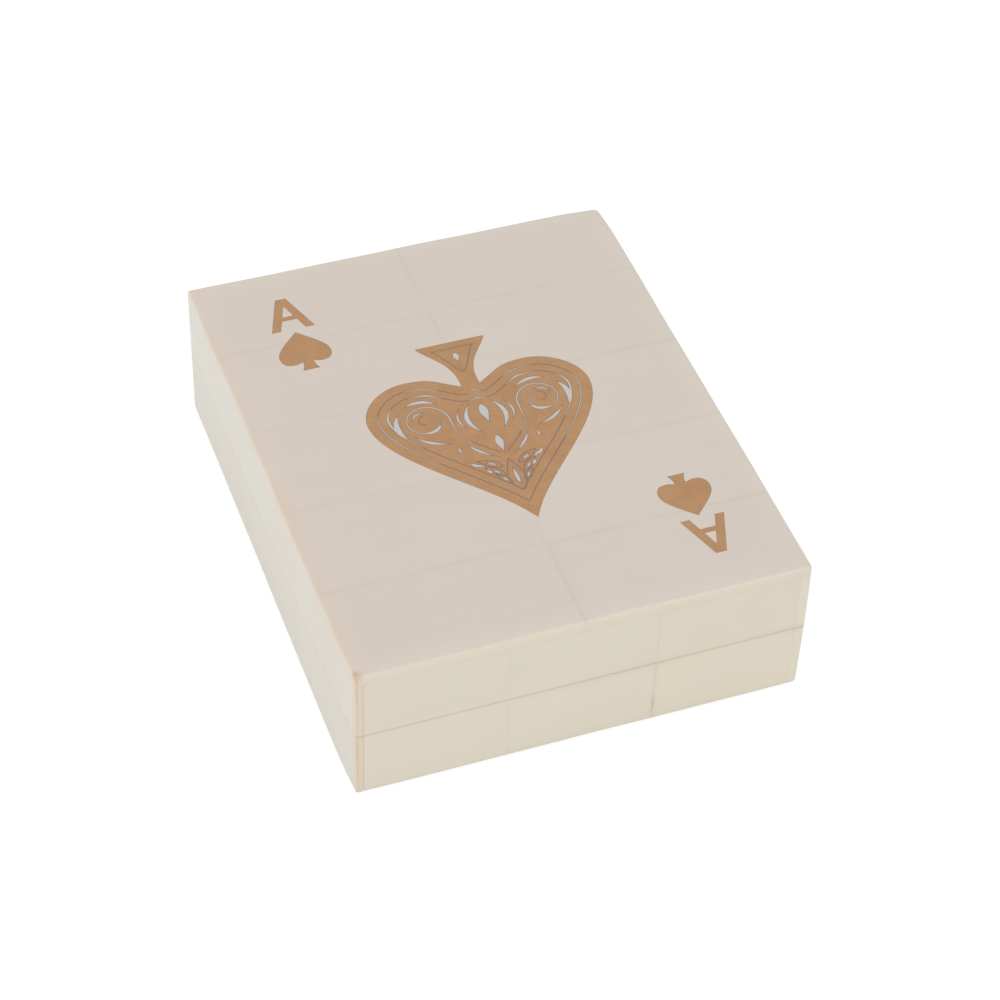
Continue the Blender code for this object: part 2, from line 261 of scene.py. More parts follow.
class Finish:
    """The nodes of a material or world, with one method for any node and a few for common ones."""

    def __init__(self, owner):
        owner.use_nodes = True
        self.owner = owner
        self.tree = owner.node_tree

    def fill(self, socket, value):
        """Links a field to a socket, or writes a plain value on it."""
        if isinstance(value, Field):
            self.tree.links.new(value.socket, socket)
        else:
            socket.default_value = value

    def node(self, kind, settings=(), sockets=(), output=0):
        """Any node: its type, its settings, and the values or links of its sockets."""
        node = self.tree.nodes.new(f"ShaderNode{kind}")
        for key, value in dict(settings).items():
            setattr(node, key, value)
        for key, value in dict(sockets).items():
            self.fill(node.inputs[key], value)
        return Field(self, node.outputs[output])

    def maths(self, operation, *values):
        return self.node("Math", {"operation": operation}, dict(enumerate(values)))

    def stretched(self, vector, factors):
        return self.node("VectorMath", {"operation": "MULTIPLY"}, {0: vector, 1: factors})

    def noise(self, vector, scale, detail=2.0, roughness=0.5, distortion=0.0):
        sockets = {
            "Vector": vector,
            "Scale": scale,
            "Detail": detail,
            "Roughness": roughness,
            "Distortion": distortion,
        }
        return self.node("TexNoise", {}, sockets)

    def rise(self, value, start, stop, low=0.0, high=1.0):
        """A smooth step from low to high as the value goes from start to stop."""
        sockets = {0: value, 1: start, 2: stop, 3: low, 4: high}
        return self.node("MapRange", {"interpolation_type": "SMOOTHSTEP"}, sockets)

    def mix(self, factor, first, second, blend="MIX"):
        settings = {"data_type": "RGBA", "blend_type": blend}
        return self.node("Mix", settings, {0: factor, 6: first, 7: second}, output=2)

    def tinted(self, colour, shade):
        """A colour made lighter or darker by a number that varies."""
        grey = self.node("CombineXYZ", {}, {0: shade, 1: shade, 2: shade})
        return self.mix(1.0, colour, grey, blend="MULTIPLY")

    def bump(self, height, distance, normal=None):
        sockets = {"Height": height, "Distance": distance, "Strength": 1.0}
        if normal is not None:
            sockets["Normal"] = normal
        return self.node("Bump", {}, sockets)

    def coordinates(self, which="Object"):
        return self.node("TexCoord", {}, {}, output=which)

    def attribute(self, name):
        return self.node("Attribute", {"attribute_name": name}, {}, output="Vector")

    def parts(self, vector):
        """The X, Y and Z of a vector."""
        first = self.node("SeparateXYZ", {}, {0: vector})
        sockets = first.socket.node.outputs
        return [Field(self, socket) for socket in sockets]

    def surface(self, **sockets):
        """Sets the shader's own sockets, with _ for each space in a name, and gives the material."""
        shader = self.tree.nodes["Principled BSDF"]
        for key, value in sockets.items():
            self.fill(shader.inputs[key.replace("_", " ")], value)
        return self.owner


def seen(red, green, blue):
    """A colour as it is seen, from 0 to 255 in sRGB, as the linear colour that a shader takes."""
    shares = np.array([red, green, blue]) / 255
    linear = np.where(shares > 0.04045, ((shares + 0.055) / 1.055) ** 2.4, shares / 12.92)
    return (*linear.tolist(), 1.0)


def dirtiness(finish, place):
    """How much dirt a place has taken up: in patches, and less on the left half of the box."""
    x, _, _ = finish.parts(place)
    patches = finish.rise(finish.noise(place, 55.0, 3.0, 0.6), 0.38, 0.70)
    return patches * finish.rise(x, -0.016, 0.004, 0.22, 1.0)


joint_stain_and_shade_reach = 0.00125
joint_core_width = 0.00020
seam_z = (lid_rim_z + base_rim_z) / 2
seam_stain_reach = 0.0020
front_skin = (outer_low[1] + 0.0024, outer_low[1] + 0.0014)
left_skin = (outer_low[0] + 0.0034, outer_low[0] + 0.0014)
smeared_joint_x = 0.0194
smear_reach = 0.0013
corner_line_x = -0.05875
corner_line_width = 0.00040
corner_strip_width = 0.0020
rubbed_reach = 0.0060
spot_place = (outer_low[0] + 0.0012, outer_low[1] + 0.0008, top_z)
spot_radius = 0.0024


def make_bone():
    """Polished bone: mottled ivory with fine fibres, pores, hair marks and stains along its edges,
    and a tan halo round the joints that is partly stain and partly painted shade.

    The grain attribute runs along, across and into each tile, near_low and near_high are the
    distances from the tile's joints on those three axes, and tone is the tile's colour, the painted
    light of its faces and edges included.
    """
    bone = Finish(bpy.data.materials.new("bone"))
    grain = bone.attribute("grain")
    place = bone.coordinates()
    x, y, z = bone.parts(place)
    mottle = bone.noise(grain, 45.0, 4.0, 0.6, 0.8)
    cloud = bone.noise(bone.stretched(grain, (30.0, 110.0, 110.0)), 1.0, 2.0)
    fibre = bone.noise(bone.stretched(grain, (55.0, 1500.0, 1500.0)), 1.0, 3.0, 0.6)
    hair = bone.noise(bone.stretched(grain, (160.0, 4200.0, 4200.0)), 1.0, 1.0)
    pore_cells = bone.node(
        "TexVoronoi",
        {"feature": "F1"},
        {"Vector": bone.stretched(grain, (170.0, 420.0, 420.0)), "Scale": 1.0},
    )
    patchy = bone.rise(bone.noise(grain, 70.0, 1.0), 0.52, 0.66)
    pores = bone.rise(pore_cells, 0.10, 0.03) * patchy
    marks = bone.noise(grain, 120.0, 2.0, 0.5, 1.5)
    marks = bone.rise(bone.maths("ABSOLUTE", marks - 0.5), 0.006, 0.001)
    marks = marks * bone.rise(bone.noise(grain, 38.0, 1.0), 0.60, 0.70)
    shade = (
        1.0
        + (mottle - 0.5) * 0.030
        + (cloud - 0.5) * 0.030
        + (fibre - 0.5) * 0.022
        + (hair - 0.5) * 0.010
        - pores * 0.030
        - marks * 0.045
    )
    colour = bone.attribute("tone")
    blush = bone.rise(bone.noise(place, 26.0, 3.0, 0.6), 0.46, 0.74)
    colour = bone.mix(blush * 0.16, colour, seen(222, 202, 188))
    nearest = bone.node(
        "VectorMath",
        {"operation": "MINIMUM"},
        {0: bone.attribute("near_low"), 1: bone.attribute("near_high")},
    )
    end_distance, side_distance, _ = bone.parts(nearest)
    edge_distance = bone.maths("MINIMUM", end_distance, side_distance)
    patches = bone.rise(bone.noise(place, 75.0, 3.0, 0.6), 0.36, 0.66)
    on_top = bone.rise(z, top_z - 0.0012, top_z - 0.0004, 0.4, 1.0)
    # Tan halo round the joints, strongest on top: partly stain, partly painted shade of the bevelled
    # joint edges.
    stain = bone.rise(edge_distance, joint_stain_and_shade_reach, joint_core_width)
    stain = stain * on_top * (patches * 0.7 + 0.3)
    colour = bone.mix(stain * 0.10, colour, seen(196, 178, 152))
    to_seam = bone.rise(bone.maths("ABSOLUTE", z - seam_z), seam_stain_reach, 0.0)
    along_seam = bone.rise(bone.noise(place, 40.0, 2.0), 0.34, 0.62, 0.5, 1.0)
    along_seam = along_seam * bone.rise(x, -0.030, 0.018, 0.42, 1.0)
    on_left = bone.rise(x, *left_skin)
    along_seam = along_seam * (1.0 - on_left * bone.rise(y, -0.065, -0.025, 0.0, 0.85))
    colour = bone.mix(to_seam * along_seam * 0.20, colour, seen(186, 168, 140))
    on_front = bone.rise(y, *front_skin)
    from_joint = bone.maths("ABSOLUTE", x - smeared_joint_x)
    smear = bone.rise(from_joint, smear_reach, joint_core_width) * on_front
    smear = smear * bone.rise(z, base_rim_z + 0.0004, base_rim_z - 0.0004)
    low_down = bone.rise(z, 0.0115, 0.0065) * bone.rise(z, 0.0010, 0.0045)
    smear = smear * (0.06 + low_down * 0.09)
    colour = bone.mix(smear, colour, seen(168, 156, 134))
    rim = bone.rise(bone.maths("ABSOLUTE", x - outer_low[0]), rubbed_reach, 0.0004)
    rubbed = rim * bone.rise(z, top_z - 0.0030, top_z - 0.0005) * (patches * 0.40 + 0.15)
    colour = bone.mix(rubbed, colour, seen(222, 202, 182))
    from_corner = bone.node(
        "VectorMath",
        {"operation": "DISTANCE"},
        {0: place, 1: spot_place},
        output="Value",
    )
    spot = bone.rise(from_corner, spot_radius, 0.0006)
    colour = bone.mix(spot * 0.6, colour, seen(200, 170, 136))
    from_line = bone.maths("ABSOLUTE", x - corner_line_x)
    corner_line = bone.rise(from_line, corner_line_width, 0.00010)
    corner_line = corner_line * on_front * (patches * 0.30 + 0.22)
    strip = on_front * bone.rise(x, corner_line_x + corner_strip_width, corner_line_x + 0.0014)
    colour = bone.mix(strip * 0.38, colour, seen(218, 198, 174))
    colour = bone.mix(corner_line, colour, seen(184, 164, 138))
    colour = bone.tinted(colour, shade)
    relief = fibre * 0.35 + hair * 0.25 + mottle * 0.3 - pores * 0.8 - marks * 0.3
    wave = bone.noise(place, 34.0, 1.0)
    normal = bone.bump(wave, 0.00030, bone.bump(relief, 0.000015))
    return bone.surface(
        Base_Color=colour,
        Roughness=0.46 + (mottle - 0.5) * 0.16 + pores * 0.2,
        Specular_IOR_Level=0.30,
        Subsurface_Weight=0.0,
        Normal=normal,
    )


bone = make_bone()
bone_draws = np.random.default_rng(7)
# Colours of the outer faces. Their differences are partly the bone's own tone and partly painted
# light, each face made lighter or darker as light falls on it.
side_tones = {
    "top": (219.5, 208.5, 197.5),
    "front": (215.0, 208.5, 192.0),
    "back": (217.0, 210.0, 195.0),
    "left": (216.5, 213.0, 203.5),
    "right": (221.0, 213.5, 199.0),
}
inner_tone = (215.0, 205.0, 189.0)
# Whole courses are made lighter or darker. The lighter base front is painted light, the light that
# the floor throws up on it.
course_tints_and_light = {"base_front": (1.020, 1.016, 1.016), "base_left": (0.985, 0.980, 0.975)}
course_tints_and_light["lid_right"] = course_tints_and_light["base_right"] = (1.035, 1.030, 1.030)
slab_tint = np.array([1.00, 0.980, 0.970])
# Painted highlight: the sawn sides of the top slab are made lighter towards the top edge.
slab_highlight_gain = np.array([0.026, 0.028, 0.032])
slab_highlight_height = 0.0016
left_drift = np.array([0.012, 0.020, 0.030])
left_column_tint = np.array([0.985, 0.988, 0.990])
# Painted highlight: the top is made lighter over its last few millimetres towards its outer edges,
# as light falls on its slope there.
edge_highlight_border = 0.0065
edge_highlight_gain = np.array([0.045, 0.045, 0.025])
# Painted shade: the rounded edges between two faces are darkened a little, to tone down their
# highlight.
rounding_shade = 0.010
turn_start = 0.0002
turn_stop = 0.0011
inner_share = 0.001
lightness_spread = 0.004
warmth_spread = 0.003
same_place = 0.0001
elsewhere = 1.0
far_off = 0.1


def tones(points):
    """Each point's colour: those of the outer faces it is near, in shares of how near they are, with
    painted highlights and shade worked in.
    """
    distances = {
        "top": top_z - points[:, 2],
        "front": points[:, 1] - outer_low[1],
        "back": outer_high[1] - points[:, 1],
        "left": points[:, 0] - outer_low[0],
        "right": outer_high[0] - points[:, 0],
    }
    shares = {side: 1 - ramp(away, turn_start, turn_stop) for side, away in distances.items()}
    colours = {side: np.array(seen(*tone)[:3]) for side, tone in side_tones.items()}
    total = sum(shares.values())
    blend = sum(shares[side][:, None] * colours[side] for side in shares)
    blend += inner_share * np.array(seen(*inner_tone)[:3])
    blend = blend / (total[:, None] + inner_share)
    on_top = shares["top"][:, None]
    blend *= 1 + (left_column_tint - 1) * on_top * (points[:, :1] < 0)
    to_edge = np.min([away for side, away in distances.items() if side != "top"], axis=0)
    # Painted highlight: the top lighter towards its outer edges.
    blend *= 1 + edge_highlight_gain * np.clip(1 - to_edge / edge_highlight_border, 0, 1)[:, None] * on_top
    # Painted shade on the rounded edges between faces.
    blend *= 1 - rounding_shade * np.clip(total - 1, 0, 1)[:, None]
    # The top slab's sawn sides: a warmer tint, and painted highlight towards the top edge.
    slab = slab_tint + slab_highlight_gain * ramp(points[:, 2:], top_low, top_low + slab_highlight_height)
    blend *= 1 + left_drift * shares["left"][:, None] * points[:, 1:2] / outer_high[1]
    return blend * np.where((points[:, 2:] > top_low) & (on_top < 0.5), slab, 1)


def finish_tile(piece, side, low, high, tint=(1, 1, 1)):
    """Writes a tile's grain, which runs along its longer side, its distances and its tone, painted
    light included.

    The distances count from the sides at a joint. Those at a free edge are put far off.
    """
    points = np.array([corner.co for corner in piece.data.vertices])
    shift = bone_draws.uniform(-1, 1, 3)
    lightness = 1 + bone_draws.normal(0, lightness_spread)
    warmth = bone_draws.normal(0, warmth_spread)
    order = {"top": [0, 1, 2], "front": [0, 2, 1], "back": [0, 2, 1]}.get(side, [1, 2, 0])
    write_field(piece, "grain", points[:, order] + shift)
    free_low = np.isclose(low, outer_low, atol=same_place)
    free_low |= np.isclose(low, (elsewhere, elsewhere, lid_rim_z), atol=same_place)
    free_high = np.isclose(high, outer_high, atol=same_place)
    free_high |= np.isclose(high, (elsewhere, elsewhere, base_rim_z), atol=same_place)
    write_field(piece, "near_low", (points - low + free_low * far_off)[:, order])
    write_field(piece, "near_high", (high - points + free_high * far_off)[:, order])
    write_field(piece, "tone", tones(points) * tint * lightness * (1 + warmth, 1, 1 - warmth))


def add_tile(name, low, high, side, body, node, rim_z=None):
    """One wall tile between two corners, in the tint and painted light of its course."""
    points, quads = sanded_box(low, high, rim_z)
    piece = add_piece(name, points, quads, bone, body, [node])
    tint = course_tints_and_light.get(f"{body}_{side}", (1, 1, 1))
    finish_tile(piece, side, np.array(low), np.array(high), tint)
    return piece


side_joints = {"1": -0.0507, "2": -0.0009, "3": 0.0510}
for half, rim_z in (("lid", lid_rim_z), ("base", base_rim_z)):
    for side in ("front", "back"):
        for number in "123":
            node = f"{half}_{side}_tile_{number}"
            low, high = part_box(node)
            add_tile(f"bone_{half}_{side}_{number}", low, high, side, half, node, rim_z)
    for side in ("left", "right"):
        for number, joint_y in side_joints.items():
            node = f"{half}_{side}_tile_{number}"
            low, high = (np.array(corner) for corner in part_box(node))
            ends = ((low[1], joint_y - tile_joint / 2), (joint_y + tile_joint / 2, high[1]))
            for letter, (start, stop) in zip("ab", ends):
                near = (low[0], start, low[2])
                far = (high[0], stop, high[2])
                name = f"bone_{half}_{side}_{number}{letter}"
                add_tile(name, near, far, side, half, node, rim_z)

top_pieces = []
for column in ("left", "right"):
    for number in "12345":
        node = f"top_tile_{column}_{number}"
        low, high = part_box(node)
        points, quads = sanded_box(low, high)
        piece = add_piece(f"bone_top_{column}_{number}", points, quads, bone, "lid", [node])
        top_pieces.append((piece, low, high))


# Glue. The joints between the tiles are filled with hide glue that dirt has turned tan. It was
# sanded flush with the bone, and has shrunk back a little since.
glue_recess = 0.000008
slab_joint_x = -0.0571
blot_x = 0.0195


def make_glue():
    """Old glue: nearly the colour of the bone, and tan or grey in patches where dirt has settled."""
    glue = Finish(bpy.data.materials.new("joint_glue"))
    place = glue.coordinates()
    x, y, z = glue.parts(place)
    dirt = dirtiness(glue, place)
    fine = glue.rise(glue.noise(place, 330.0, 3.0, 0.6), 0.40, 0.68)
    colour = glue.mix(0.07, glue.attribute("tone"), seen(200, 178, 146))
    colour = glue.mix(dirt * 0.38, colour, seen(202, 180, 150))
    colour = glue.mix(dirt * fine * 0.26, colour, seen(160, 144, 122))
    on_front = glue.rise(y, outer_low[1] + 0.0035, outer_low[1] + 0.0025)
    at_slab = on_front * glue.rise(glue.maths("ABSOLUTE", x - slab_joint_x), 0.0010, 0.0005)
    colour = glue.mix(at_slab * 0.7, colour, seen(200, 172, 138))
    from_blot = glue.maths("ABSOLUTE", x - blot_x)
    on_base = glue.rise(z, 0.0215, 0.0205) * glue.rise(from_blot, 0.0040, 0.0010) * on_front
    colour = glue.mix(on_base * 0.15, colour, seen(176, 164, 140))
    blot = on_base * glue.rise(z, 0.0100, 0.0070) * glue.rise(z, 0.0020, 0.0050)
    colour = glue.mix(blot * 0.45, colour, seen(128, 112, 92))
    return glue.surface(Base_Color=colour, Roughness=0.55, Specular_IOR_Level=0.36)


glue = make_glue()


def add_glue(name, boxes, body, nodes):
    """Strips that each fill one joint between two corners, kept just inside the outer faces."""
    inner_low = outer_low + glue_recess
    inner_high = outer_high - glue_recess
    points, quads, count = [], [], 0
    for low, high in boxes:
        strip, faces = sanded_box(np.maximum(low, inner_low), np.minimum(high, inner_high))
        points.append(strip)
        quads.append(faces + count)
        count += len(strip)
    points = np.concatenate(points)
    piece = add_piece(name, points, np.concatenate(quads), glue, body, nodes)
    write_field(piece, "tone", tones(points))
    return piece


def joint_boxes(half):
    """Boxes of the joints round one half: between tiles, at the corners and against the core."""
    course = {side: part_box(f"{half}_{side}_tile_1") for side in ("front", "back", "left", "right")}
    low_z, high_z = course["front"][0][2], course["front"][1][2]
    board_low, board_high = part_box(f"{half}_board")
    left_in, right_in = course["left"][1][0], course["right"][0][0]
    front_in, back_in = course["front"][1][1], course["back"][0][1]
    boxes = []
    for x0, x1 in ((left_in, left_in + tile_joint), (right_in - tile_joint, right_in)):
        boxes.append(((x0, outer_low[1], low_z), (x1, front_in, high_z)))
        boxes.append(((x0, back_in, low_z), (x1, outer_high[1], high_z)))
        boxes.append(((x0, front_in, low_z), (x1, back_in, high_z)))
    for y0, y1 in ((front_in, board_low[1]), (board_high[1], back_in)):
        boxes.append(((left_in + tile_joint, y0, low_z), (right_in - tile_joint, y1, high_z)))
    for number in "12":
        for side, y0, y1 in (("front", outer_low[1], front_in), ("back", back_in, outer_high[1])):
            x0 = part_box(f"{half}_{side}_tile_{number}")[1][0]
            boxes.append(((x0, y0, low_z), (x0 + tile_joint, y1, high_z)))
    cad_joints = [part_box(f"{half}_left_tile_{n}")[1][1] + tile_joint / 2 for n in "12"]
    for y in (*side_joints.values(), *cad_joints):
        for x0, x1 in ((outer_low[0], left_in), (right_in, outer_high[0])):
            boxes.append(((x0, y - tile_joint / 2, low_z), (x1, y + tile_joint / 2, high_z)))
    return boxes


under_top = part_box("lid_front_tile_1")[1][2]
left_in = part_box("lid_left_tile_1")[1][0]
right_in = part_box("lid_right_tile_1")[0][0]
front_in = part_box("lid_front_tile_1")[1][1]
back_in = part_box("lid_back_tile_1")[0][1]
lid_boxes = joint_boxes("lid")
lid_boxes += [
    ((outer_low[0], outer_low[1], under_top), (outer_high[0], front_in, top_low)),
    ((outer_low[0], back_in, under_top), (outer_high[0], outer_high[1], top_low)),
    ((outer_low[0], front_in, under_top), (left_in, back_in, top_low)),
    ((right_in, front_in, under_top), (outer_high[0], back_in, top_low)),
]
add_glue("glue_lid_joints", lid_boxes, "lid", [])
add_glue("glue_base_joints", joint_boxes("base"), "base", [])

strip_gap = 0.00001
column_x = [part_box("top_tile_left_1")[1][0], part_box("top_tile_right_1")[0][0]]
top_joint_boxes = [((column_x[0], outer_low[1], top_low), (column_x[1], outer_high[1], top_z))]
for column, x0, x1 in (
    ("left", outer_low[0], column_x[0] - strip_gap),
    ("right", column_x[1] + strip_gap, outer_high[0]),
):
    for number in "1234":
        y0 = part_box(f"top_tile_{column}_{number}")[1][1]
        top_joint_boxes.append(((x0, y0, top_low), (x1, y0 + tile_joint, top_z)))

# Inlay. The spades and the index letters are sawn from thin brass sheet, let into pockets in the
# bone and sanded flush. Scrollwork is pierced through the large spade and filled with pale resin.
spade_curves = np.array(
    [
        [(0.000, 0.000), (0.106, 0.201), (0.500, 0.429), (0.500, 0.644)],
        [(0.500, 0.644), (0.500, 0.746), (0.381, 0.828), (0.280, 0.828)],
        [(0.280, 0.828), (0.148, 0.828), (0.151, 0.802), (0.041, 0.746)],
        [(0.041, 0.746), (0.024, 0.879), (0.116, 0.929), (0.158, 1.000)],
    ]
)
pip_curves = np.array(
    [
        [(0.000, 0.000), (0.216, 0.216), (0.500, 0.405), (0.500, 0.608)],
        [(0.500, 0.608), (0.500, 0.745), (0.417, 0.824), (0.309, 0.824)],
        [(0.309, 0.824), (0.230, 0.843), (0.158, 0.797), (0.101, 0.791)],
        [(0.101, 0.791), (0.094, 0.889), (0.122, 0.954), (0.165, 1.000)],
    ]
)
curve_steps = 24
pocket_gap = 0.00010
# Width of the line of painted shade round each brass piece.
glue_line = 0.00009
resin_recess = 0.00003
millimetre = 0.001
thinnest_stroke = 0.04
weld_distance = 0.00001


def bezier(curves, steps=curve_steps):
    """Points along cubic curves in a row, as the Bernstein mix of each curve's four points."""
    t = np.linspace(0, 1, steps, endpoint=False)[:, None]
    a, b, c, d = np.moveaxis(np.asarray(curves, float)[:, :, None], 1, 0)
    points = a * (1 - t) ** 3 + 3 * b * t * (1 - t) ** 2 + 3 * c * t**2 * (1 - t) + d * t**3
    return np.concatenate([points.reshape(-1, 2), np.asarray(curves, float)[-1, -1:]])


def mirrored(path):
    """A path mirrored in the upright axis."""
    return path * (-1, 1)


def spade_outline(curves, width, height):
    """A spade's outline anticlockwise from its point, its right half mirrored for the left."""
    right = bezier(curves * (width, height))
    return np.concatenate([right, mirrored(right[1:])[::-1]])


def normals(path):
    """Unit normals to the left of a path, each its direction there turned by a quarter."""
    along = np.gradient(path, axis=0)
    along /= np.linalg.norm(along, axis=1)[:, None]
    return along[:, ::-1] * (-1, 1)


def ribbon(path, width):
    """The outline of a stroke: the path moved half its width to each side."""
    offset = normals(path) * np.broadcast_to(np.asarray(width) / 2, len(path))[:, None]
    return np.concatenate([path - offset, (path + offset)[::-1]])


def swelling(count, widest, peak):
    """Widths from nothing to the widest and back, as a sine whose peak is at that share."""
    t = np.linspace(0, 1, count) ** (math.log(0.5) / math.log(peak))
    return thinnest_stroke + (widest - thinnest_stroke) * np.sin(np.pi * t) ** 1.2


def spiral(centre, radii, angles, count):
    """Points about a centre whose radius and angle both change steadily, angles in degrees."""
    t = np.linspace(0, 1, count)[:, None]
    radius = radii[0] + (radii[1] - radii[0]) * t
    angle = np.radians(angles[0] + (angles[1] - angles[0]) * t)
    return centre + radius * np.hstack([np.cos(angle), np.sin(angle)])


def flat_shape(outlines, count_inside=1):
    """Triangles of the places that lie in the first outlines, and the last outline to hold each.

    A constrained Delaunay triangulation cuts the outlines at their crossings, and says which of
    them each triangle lies in.
    """
    points = np.concatenate(outlines)
    starts = np.cumsum([0] + [len(outline) for outline in outlines])
    faces = [list(range(start, stop)) for start, stop in zip(starts, starts[1:])]
    corners, _, triangles, _, _, owners = delaunay_2d_cdt(
        points.tolist(), [], faces, 1, weld_distance, True
    )
    corners = np.array([tuple(corner) for corner in corners])
    triangles = np.array(triangles)
    first, second, third = (corners[triangles[:, column]] for column in range(3))
    turn = np.cross(second - first, third - first)
    triangles = np.where(turn[:, None] < 0, triangles[:, ::-1], triangles)
    inside = np.array([min(held, default=count_inside) < count_inside for held in owners])
    last = np.array([max(held, default=0) for held in owners])
    return corners, triangles[inside & (turn != 0)], last[inside & (turn != 0)]


def slab(corners, triangles, low, high):
    """A closed slab over flat triangles: they lie at the high level and, turned over, at the low
    one, with a wall under each side that only one triangle has."""
    used, triangles = np.unique(triangles, return_inverse=True)
    triangles = triangles.reshape(-1, 3)
    sides = np.concatenate([triangles[:, [0, 1]], triangles[:, [1, 2]], triangles[:, [2, 0]]])
    _, first, times = np.unique(
        np.sort(sides, axis=1), axis=0, return_index=True, return_counts=True
    )
    start, stop = sides[first[times == 1]].T
    count = len(used)
    walls = np.stack([start, stop, stop + count, start + count], axis=1)
    flat = corners[used]
    points = np.concatenate([np.insert(flat, 2, level, axis=1) for level in (low, high)])
    faces = [*triangles[:, ::-1].tolist(), *(triangles + count).tolist(), *walls.tolist()]
    return points, faces


# Scrollwork of the large spade, in millimetres from its point, drawn on the right half and
# mirrored: two border lines, scrolls that end in spirals, slivers, leaves and drops
spade_low, spade_high = (np.array(corner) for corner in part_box("spade_inlay"))
spade_size = (spade_high - spade_low)[:2] / millimetre
spade = spade_outline(spade_curves, *spade_size)
strokes = []
cores = []
line_width = 0.34
# Width of the painted shade along each side of a wide stroke.
glue_edge = 0.15
narrowest_core = 0.08
border_share = 0.985


def keep_stroke(path, width):
    """Keeps a stroke's outline and, where it is wide enough to show its filler between two lines of
    dark filler that paint the shade at its edges, the outline of its pale core."""
    width = np.broadcast_to(np.asarray(width, float), len(path))
    strokes.append(ribbon(path, width))
    wide = np.flatnonzero(width > 2 * glue_edge + narrowest_core)
    for run in np.split(wide, np.flatnonzero(np.diff(wide) > 1) + 1):
        if len(run) > 2:
            cores.append(ribbon(path[run], width[run] - 2 * glue_edge))


def stroke(path, width=line_width):
    """Keeps a stroke and its mirrored one."""
    keep_stroke(path, width)
    keep_stroke(mirrored(path), width)


def border_path(depth):
    """The line inside the spade's body at one distance from its outline, from the middle below to
    the middle above: the outline moved along its normals, then an arc about the neck."""
    body = spade[: 3 * curve_steps + 1]
    moved = body + normals(body) * depth
    last = moved[-1] - body[-1]
    angles = np.linspace(math.atan2(last[1], last[0]), -0.9 * math.pi, curve_steps)
    arc = body[-1] + depth * np.stack([np.cos(angles), np.sin(angles)], axis=1)
    path = np.concatenate([moved, arc[1:]])
    away = np.linalg.norm(path[:, None] - spade, axis=2).min(axis=1)
    path = path[(away > border_share * depth) & (path[:, 0] > 0)]
    ends = []
    for near, next_one in ((path[0], path[1]), (path[-1], path[-2])):
        ends.append(near - (next_one - near) * near[0] / (next_one[0] - near[0]))
    return np.concatenate([ends[:1], path, ends[1:]])


for depth, widest in ((3.0, 0.5), (5.6, 0.8)):
    path = border_path(depth)
    t = np.linspace(0, 1, len(path))
    stroke(path, line_width + (widest - line_width) * np.sin(2.6 * np.pi * t + depth) ** 4)

scroll_eye = (15.8, 41.6)
scroll = spiral(scroll_eye, (6.4, 0.9), (188, -452), 130)
scroll_root = [
    [(0.9, 25.2), (3.6, 27.6), (9.0, 32.0), (9.3, 36.6)],
    [(9.3, 36.6), (9.4, 38.0), (9.4, 39.4), tuple(scroll[0])],
]
root = bezier(scroll_root)[:-1]
widths = np.concatenate([np.linspace(0.28, 0.62, len(root)), np.linspace(0.62, 0.28, len(scroll))])
stroke(np.concatenate([root, scroll]), widths)
echo = bezier([[(0.9, 22.9), (3.2, 24.4), (6.6, 26.4), (8.3, 30.6)]])
stroke(echo, swelling(len(echo), 1.0, 0.70))

tendril = spiral((12.3, 28.9), (2.8, 0.6), (104, -448), 80)
tendril_root = [[(20.4, 37.2), (18.0, 33.8), (15.4, 32.9), tuple(tendril[0])]]
root = bezier(tendril_root)[:-1]
swell = np.sin(np.linspace(0, np.pi, len(root))) ** 2
widths = np.concatenate([line_width + 0.8 * swell, np.linspace(line_width, 0.24, len(tendril))])
stroke(np.concatenate([root, tendril]), widths)

sliver_steps = 36
slivers = (
    (scroll_eye, (7.9, 7.6), (-40, 42), 1.8),
    (scroll_eye, (7.9, 7.5), (62, 134), 1.3),
    (scroll_eye, (4.0, 4.2), (-160, -50), 1.2),
    (scroll_eye, (3.6, 3.7), (20, 110), 0.7),
    ((12.3, 28.9), (1.5, 1.6), (130, 240), 0.8),
    ((9.6, 18.6), (3.9, 3.7), (82, 150), 0.9),
)
for centre, radii, angles, widest in slivers:
    stroke(spiral(centre, radii, angles, sliver_steps), swelling(sliver_steps, widest, 0.46))

leaf_steps = 26
vein_span = slice(5, 19)
leaves = (
    ((1.9, 13.4), 60, 5.6, 1.8, -8),
    ((2.5, 16.6), 50, 6.4, 2.0, -10),
    ((2.2, 20.0), 38, 7.0, 2.1, -14),
)
for root, angle, length, width, bend in leaves:
    t = np.linspace(0, 1, leaf_steps)
    heading = np.radians(angle + bend * t[:-1])
    steps = np.stack([np.cos(heading), np.sin(heading)], axis=1) * length / (leaf_steps - 1)
    rib = np.array(root) + np.concatenate([[(0, 0)], np.cumsum(steps, axis=0)])
    for side in (-1, 1):
        stroke(rib + normals(rib) * (side * width / 2 * np.sin(np.pi * t**0.8))[:, None])
    vein = rib[vein_span]
    stroke(vein, swelling(len(vein), 0.75, 0.4))

